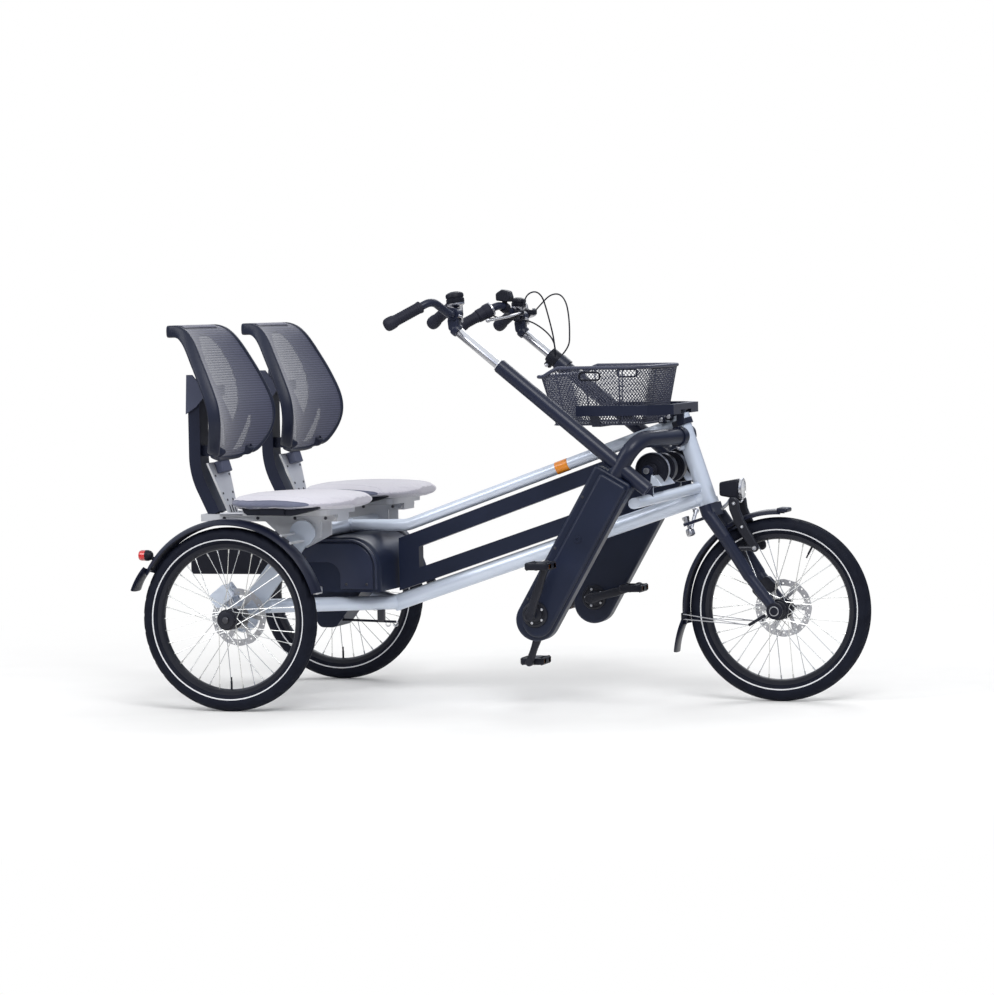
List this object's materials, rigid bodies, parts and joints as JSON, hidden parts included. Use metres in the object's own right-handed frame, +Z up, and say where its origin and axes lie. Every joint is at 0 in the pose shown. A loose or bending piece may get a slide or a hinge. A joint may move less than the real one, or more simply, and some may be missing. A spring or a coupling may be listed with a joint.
{
  "type": "side-by-side tandem bicycle",
  "caption": "Side-by-side tandem tricycle: spoked wheels, twin seats, twin cranks in chain cases, a fixed and a steering handlebar, and a front basket.",
  "frame": {"origin": "on the ground under the centre of the vehicle's bounding box", "axes": "+X forward, +Y to the riders' left, +Z up"},
  "size_m": [1.9887, 1.0274, 1.1484],
  "materials": {
    "silver_paint": "gloss",
    "black_paint": "satin",
    "case_plastic": "satin",
    "guard_plastic": "semi-gloss",
    "seat_frame": "satin",
    "seat_fabric": "woven",
    "back_mesh": "ribbed mesh",
    "polished_post": "polished",
    "grip_rubber": "matt",
    "black_controls": "matt",
    "red_lens": "gloss",
    "wheel_metal": "black rim, bright spokes",
    "tyre_rubber": "matt with a reflecting stripe",
    "crank_black": "black anodised",
    "shaft_steel": "dark with bright rims",
    "pedal_plastic": "matt"
  },
  "bodies": {
    "frame": {"backrest_bar_left": "black_paint", "backrest_bar_right": "black_paint", "backrest_left": "back_mesh", "backrest_right": "back_mesh", "basket": "black_paint", "basket_carrier": "black_paint", "battery_box": "case_plastic", "chain_case_left": "case_plastic", "chain_case_right": "case_plastic", "chain_guard": "case_plastic", "copilot_bar": "polished_post", "copilot_bell": "black_controls", "copilot_grips": "grip_rubber", "drive_housing": "case_plastic", "head_tube": "silver_paint", "lower_tube": "silver_paint", "rear_mudguard_left": "guard_plastic", "rear_mudguard_right": "guard_plastic", "rear_stay_left": "silver_paint", "rear_stay_right": "silver_paint", "seat_base_left": "seat_frame", "seat_base_right": "seat_frame", "seat_beam": "silver_paint", "seat_cushion_left": "seat_fabric", "seat_cushion_right": "seat_fabric", "side_strut_left": "silver_paint", "side_strut_right": "silver_paint", "support_arm_left": "black_paint", "support_arm_right": "black_paint", "tail_lamps": "red_lens", "upper_tube": "silver_paint", "wheel_carrier_left": "silver_paint", "wheel_carrier_right": "silver_paint"},
    "crank_left": {"crank_left": "crank_black"},
    "crank_right": {"crank_right": "crank_black"},
    "fork": {"fork": "black_paint", "front_brakes": "black_controls", "front_mudguard": "guard_plastic", "headlamp": "black_controls"},
    "layshaft": {"layshaft": "shaft_steel"},
    "pedal_left_inner": {"pedal_left_inner": "pedal_plastic"},
    "pedal_left_outer": {"pedal_left_outer": "pedal_plastic"},
    "pedal_right_inner": {"pedal_right_inner": "pedal_plastic"},
    "pedal_right_outer": {"pedal_right_outer": "pedal_plastic"},
    "pilot_bar": {"pilot_bar": "polished_post", "pilot_cables": "black_controls", "pilot_controls": "black_controls", "pilot_grips": "grip_rubber"},
    "tie_rod": {"tie_rod": "black_controls"},
    "front_wheel": {"tyre_front": "tyre_rubber", "wheel_front": "wheel_metal"},
    "rear_wheel_left": {"tyre_rear_left": "tyre_rubber", "wheel_rear_left": "wheel_metal"},
    "rear_wheel_right": {"tyre_rear_right": "tyre_rubber", "wheel_rear_right": "wheel_metal"}
  },
  "joints": [
    {"name": "steering", "type": "hinge", "parent": "frame", "child": "fork", "pos_m": [0.549, 0, 0.544], "axis": [-0.3151, 0, 0.9491], "range_deg": [-40, 40]},
    {"name": "bar_steering", "type": "hinge", "parent": "frame", "child": "pilot_bar", "pos_m": [0.45, 0.285, 0.598], "axis": [-0.7716, 0, 0.6361], "range_deg": [-40, 40]},
    {"name": "rod_swing", "type": "hinge", "parent": "fork", "child": "tie_rod", "pos_m": [0.48641, 0, 0.48497], "axis": [-0.3151, 0, 0.9491], "range_deg": [-40, 40]},
    {"name": "front_wheel_turn", "type": "hinge", "parent": "fork", "child": "front_wheel", "pos_m": [0.745, 0, 0.254], "axis": [0, 1, 0], "continuous": true},
    {"name": "rear_wheel_right_turn", "type": "hinge", "parent": "frame", "child": "rear_wheel_right", "pos_m": [-0.7, -0.455, 0.254], "axis": [0, 1, 0], "continuous": true},
    {"name": "rear_wheel_left_turn", "type": "hinge", "parent": "frame", "child": "rear_wheel_left", "pos_m": [-0.7, 0.455, 0.254], "axis": [0, 1, 0], "continuous": true},
    {"name": "crank_right_turn", "type": "hinge", "parent": "frame", "child": "crank_right", "pos_m": [0.138, -0.285, 0.262], "axis": [0, 1, 0], "continuous": true},
    {"name": "pedal_right_inner_turn", "type": "hinge", "parent": "crank_right", "child": "pedal_right_inner", "pos_m": [0.0867, -0.158, 0.12105], "axis": [0, 1, 0], "continuous": true},
    {"name": "pedal_right_outer_turn", "type": "hinge", "parent": "crank_right", "child": "pedal_right_outer", "pos_m": [0.1893, -0.438, 0.40295], "axis": [0, 1, 0], "continuous": true},
    {"name": "crank_left_turn", "type": "hinge", "parent": "frame", "child": "crank_left", "pos_m": [0.138, 0.285, 0.262], "axis": [0, 1, 0], "continuous": true},
    {"name": "pedal_left_inner_turn", "type": "hinge", "parent": "crank_left", "child": "pedal_left_inner", "pos_m": [0.28354, 0.158, 0.29829], "axis": [0, 1, 0], "continuous": true},
    {"name": "pedal_left_outer_turn", "type": "hinge", "parent": "crank_left", "child": "pedal_left_outer", "pos_m": [-0.00754, 0.438, 0.22571], "axis": [0, 1, 0], "continuous": true},
    {"name": "layshaft_turn", "type": "hinge", "parent": "frame", "child": "layshaft", "pos_m": [0.428, 0, 0.646], "axis": [0, 1, 0], "continuous": true}
  ],
  "couplings": [
    {"joint": "bar_steering", "follows": "steering", "ratio": 1},
    {"joint": "rod_swing", "follows": "steering", "ratio": -1}
  ]
}
